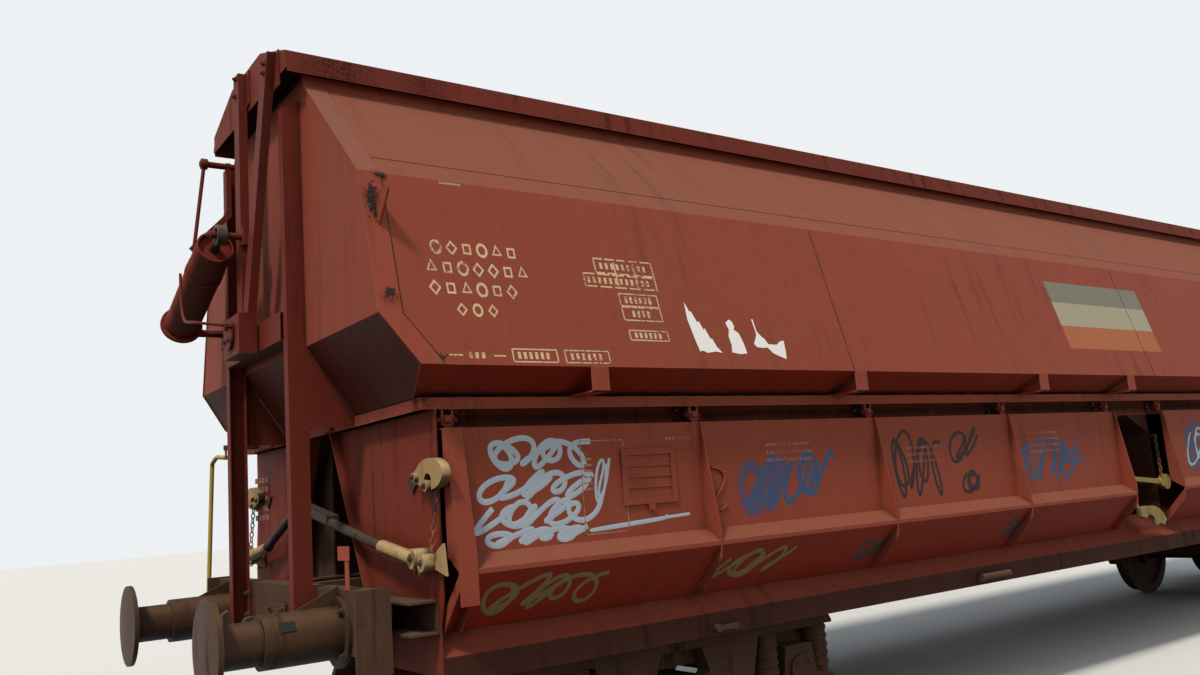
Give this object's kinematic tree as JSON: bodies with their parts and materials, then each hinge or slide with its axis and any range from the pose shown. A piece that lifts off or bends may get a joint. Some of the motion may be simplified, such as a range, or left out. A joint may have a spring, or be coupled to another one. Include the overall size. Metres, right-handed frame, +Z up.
{
  "type": "self-discharging hopper wagon with a swing roof",
  "caption": "Bogie hopper wagon with sloping upper sides, a one-piece swing roof and side discharge flaps under a belt rail.",
  "frame": {"origin": "middle of the wagon on the floor, at the lowest point of the wheel flanges", "axes": "+X along the wagon to end b, +Y to the far side, +Z up; the rail top is at z = 0.028"},
  "size_m": [14.54, 3.1696, 4.1929],
  "materials": {
    "oxide_paint": "weathered oxide-red enamel on steel sheet",
    "underframe_steel": "rust and brake dust over dark paint",
    "wheel_steel": "forged steel, rust brown with worn treads",
    "buffer_steel": "rusted and greasy forged steel",
    "rod_steel": "ground steel rod",
    "cream_castings": "worn cream enamel and grease on castings",
    "yellow_paint": "weathered yellow enamel on tube"
  },
  "bodies": {
    "root": {"side_sheet_near": "oxide_paint", "side_sheet_far": "oxide_paint", "end_wall_a": "oxide_paint", "end_wall_b": "oxide_paint", "belt_ring": "oxide_paint", "saddle_floor": "oxide_paint", "cross_tunnel": "oxide_paint", "lower_end_a": "oxide_paint", "lower_end_b": "oxide_paint", "centre_sill": "underframe_steel", "cross_frames": "underframe_steel", "headstock_a": "underframe_steel", "headstock_b": "underframe_steel", "end_posts_a": "oxide_paint", "end_posts_b": "oxide_paint", "buffers_a": "buffer_steel", "buffers_b": "buffer_steel", "draw_gear_a": "underframe_steel", "draw_gear_b": "underframe_steel", "lock_gear_a": "cream_castings", "lock_gear_b": "cream_castings", "roof_locks": "oxide_paint", "handrails": "yellow_paint", "centre_gear": "cream_castings", "brake_equipment": "underframe_steel"},
    "roof": {"roof_shell": "oxide_paint", "roof_arms_a": "oxide_paint", "roof_arms_b": "oxide_paint"},
    "barrel_a": {"roof_cylinder_a": "oxide_paint"},
    "piston_a": {"roof_rod_a": "rod_steel"},
    "barrel_b": {"roof_cylinder_b": "oxide_paint"},
    "piston_b": {"roof_rod_b": "rod_steel"},
    "flap_near_a": {"flap_near_a": "oxide_paint", "label_box": "oxide_paint"},
    "flap_near_b": {"flap_near_b": "oxide_paint"},
    "flap_far_a": {"flap_far_a": "oxide_paint"},
    "flap_far_b": {"flap_far_b": "oxide_paint"},
    "bogie_a": {"bogie_frame_a": "underframe_steel", "axle_boxes_a": "underframe_steel"},
    "bogie_b": {"bogie_frame_b": "underframe_steel", "axle_boxes_b": "underframe_steel"},
    "wheelset_1": {"wheelset_1": "wheel_steel"},
    "wheelset_2": {"wheelset_2": "wheel_steel"},
    "wheelset_3": {"wheelset_3": "wheel_steel"},
    "wheelset_4": {"wheelset_4": "wheel_steel"}
  },
  "joints": [
    {"name": "roof_swing", "type": "hinge", "parent": "root", "child": "roof", "pos_m": [0, 0, 2.628], "axis": [1, 0, 0], "range_deg": [0, 43]},
    {"name": "cylinder_a_tilt", "type": "hinge", "parent": "root", "child": "barrel_a", "pos_m": [-6.95, 0.95, 2.818], "axis": [1, 0, 0], "range_deg": [0, 12.3]},
    {"name": "cylinder_a_stroke", "type": "slide", "parent": "barrel_a", "child": "piston_a", "axis": [0, -0.9379, 0.347], "range_m": [0, 0.33]},
    {"name": "cylinder_b_tilt", "type": "hinge", "parent": "root", "child": "barrel_b", "pos_m": [6.95, 0.95, 2.818], "axis": [1, 0, 0], "range_deg": [0, 12.3]},
    {"name": "cylinder_b_stroke", "type": "slide", "parent": "barrel_b", "child": "piston_b", "axis": [0, -0.9379, 0.347], "range_m": [0, 0.33]},
    {"name": "flap_near_a_hinge", "type": "hinge", "parent": "root", "child": "flap_near_a", "pos_m": [0, -1.352, 2.02], "axis": [-1, 0, 0], "range_deg": [0, 30]},
    {"name": "flap_near_b_hinge", "type": "hinge", "parent": "root", "child": "flap_near_b", "pos_m": [0, -1.352, 2.02], "axis": [-1, 0, 0], "range_deg": [0, 30]},
    {"name": "flap_far_a_hinge", "type": "hinge", "parent": "root", "child": "flap_far_a", "pos_m": [0, 1.352, 2.02], "axis": [1, 0, 0], "range_deg": [0, 30]},
    {"name": "flap_far_b_hinge", "type": "hinge", "parent": "root", "child": "flap_far_b", "pos_m": [0, 1.352, 2.02], "axis": [1, 0, 0], "range_deg": [0, 30]},
    {"name": "bogie_a_swivel", "type": "hinge", "parent": "root", "child": "bogie_a", "pos_m": [-4.75, 0, 0.878], "axis": [0, 0, 1], "range_deg": [-4, 4]},
    {"name": "bogie_b_swivel", "type": "hinge", "parent": "root", "child": "bogie_b", "pos_m": [4.75, 0, 0.878], "axis": [0, 0, 1], "range_deg": [-4, 4]},
    {"name": "wheelset_1_spin", "type": "hinge", "parent": "bogie_a", "child": "wheelset_1", "pos_m": [-5.65, 0, 0.488], "axis": [0, 1, 0], "continuous": true},
    {"name": "wheelset_2_spin", "type": "hinge", "parent": "bogie_a", "child": "wheelset_2", "pos_m": [-3.85, 0, 0.488], "axis": [0, 1, 0], "continuous": true},
    {"name": "wheelset_3_spin", "type": "hinge", "parent": "bogie_b", "child": "wheelset_3", "pos_m": [3.85, 0, 0.488], "axis": [0, 1, 0], "continuous": true},
    {"name": "wheelset_4_spin", "type": "hinge", "parent": "bogie_b", "child": "wheelset_4", "pos_m": [5.65, 0, 0.488], "axis": [0, 1, 0], "continuous": true}
  ],
  "couplings": [
    {"joint": "cylinder_a_tilt", "follows": "roof_swing", "ratio": 0.284},
    {"joint": "cylinder_a_stroke", "follows": "roof_swing", "m_per_rad": 0.436},
    {"joint": "cylinder_b_tilt", "follows": "roof_swing", "ratio": 0.284},
    {"joint": "cylinder_b_stroke", "follows": "roof_swing", "m_per_rad": 0.436}
  ]
}
